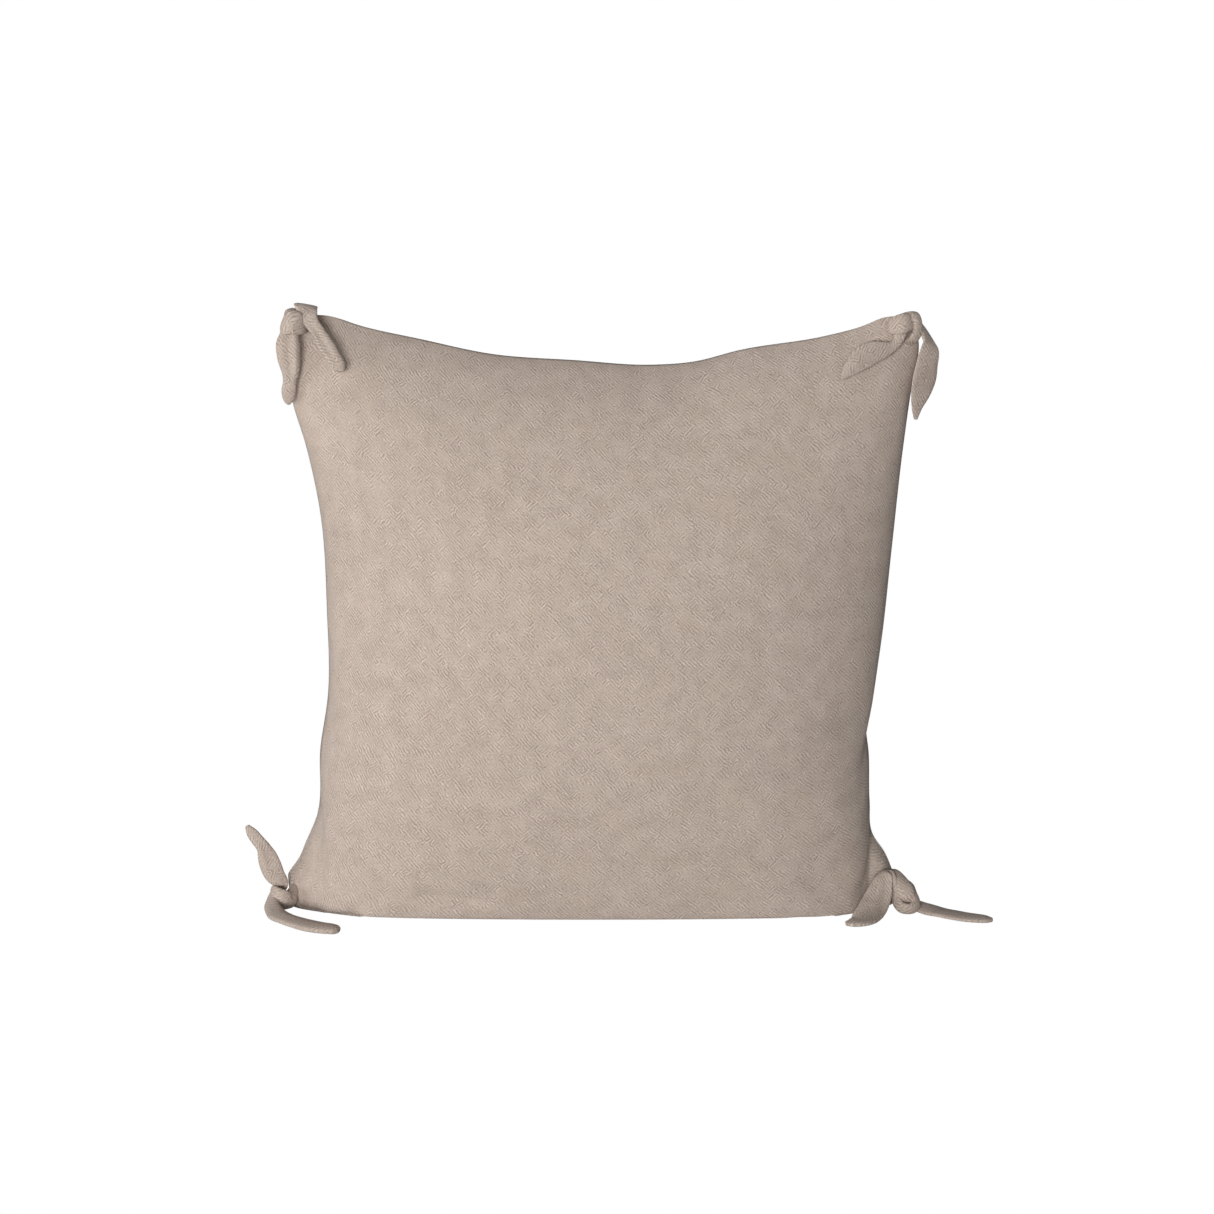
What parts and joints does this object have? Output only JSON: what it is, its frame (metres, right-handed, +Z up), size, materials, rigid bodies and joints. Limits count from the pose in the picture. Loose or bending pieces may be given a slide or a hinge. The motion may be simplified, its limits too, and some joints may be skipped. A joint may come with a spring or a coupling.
{
  "type": "floor cushion",
  "caption": "Square filled floor cushion with a woven zipped cover and knotted strip ties at its corners, standing on one edge.",
  "frame": {"origin": "middle of the footprint of the whole object's box, on the surface that the lower edge stands on", "axes": "+Z up, +X towards the right-hand side seam seen from the front, and the front panel faces -Y"},
  "size_m": [0.7094, 0.17, 0.5804],
  "materials": {
    "oatmeal_linen": "coarse matt weave",
    "pad_cotton": "plain matt cotton",
    "hollow_fibre": "loose polyester fibre",
    "zip_tape": "dyed woven tape",
    "zip_nylon": "satin nylon",
    "zip_metal": "dull nickel"
  },
  "bodies": {
    "cushion": {"front_panel": "oatmeal_linen", "back_panel": "oatmeal_linen", "inner_case_front": "pad_cotton", "inner_case_back": "pad_cotton", "filling": "hollow_fibre", "zip_tape_front": "zip_tape", "zip_tape_back": "zip_tape", "zip_coil_front": "zip_nylon", "zip_coil_back": "zip_nylon", "zip_top_stop_front": "zip_metal", "zip_top_stop_back": "zip_metal", "zip_bottom_stop": "zip_metal"},
    "zip_slider_body": {"zip_slider": "zip_metal"},
    "zip_puller_body": {"zip_puller": "zip_metal"},
    "ties_top_left": {"tie_top_left_front": "oatmeal_linen", "tie_top_left_back": "oatmeal_linen"},
    "ties_top_right": {"tie_top_right_front": "oatmeal_linen", "tie_top_right_back": "oatmeal_linen"},
    "ties_bottom_left": {"tie_bottom_left_front": "oatmeal_linen", "tie_bottom_left_back": "oatmeal_linen"},
    "ties_bottom_right": {"tie_bottom_right_front": "oatmeal_linen", "tie_bottom_right_back": "oatmeal_linen"}
  },
  "joints": [
    {"name": "zip_slide", "type": "slide", "parent": "cushion", "child": "zip_slider_body", "axis": [-1, 0, 0], "range_m": [0, 0.3814]},
    {"name": "puller_flip", "type": "hinge", "parent": "zip_slider_body", "child": "zip_puller_body", "pos_m": [0.1758, 0, 0.00145], "axis": [0, -1, 0], "range_deg": [0, 170]},
    {"name": "flop_top_left", "type": "hinge", "parent": "cushion", "child": "ties_top_left", "pos_m": [-0.2959, 0, 0.548], "axis": [-1, 0, 0], "range_deg": [0, 80]},
    {"name": "flop_top_right", "type": "hinge", "parent": "cushion", "child": "ties_top_right", "pos_m": [0.2661, 0, 0.548], "axis": [-1, 0, 0], "range_deg": [0, 80]},
    {"name": "flop_bottom_left", "type": "hinge", "parent": "cushion", "child": "ties_bottom_left", "pos_m": [-0.2959, 0, 0.012], "axis": [0, 0, -1], "range_deg": [0, 40]},
    {"name": "flop_bottom_right", "type": "hinge", "parent": "cushion", "child": "ties_bottom_right", "pos_m": [0.2661, 0, 0.012], "axis": [0, 0, 1], "range_deg": [0, 40]}
  ]
}
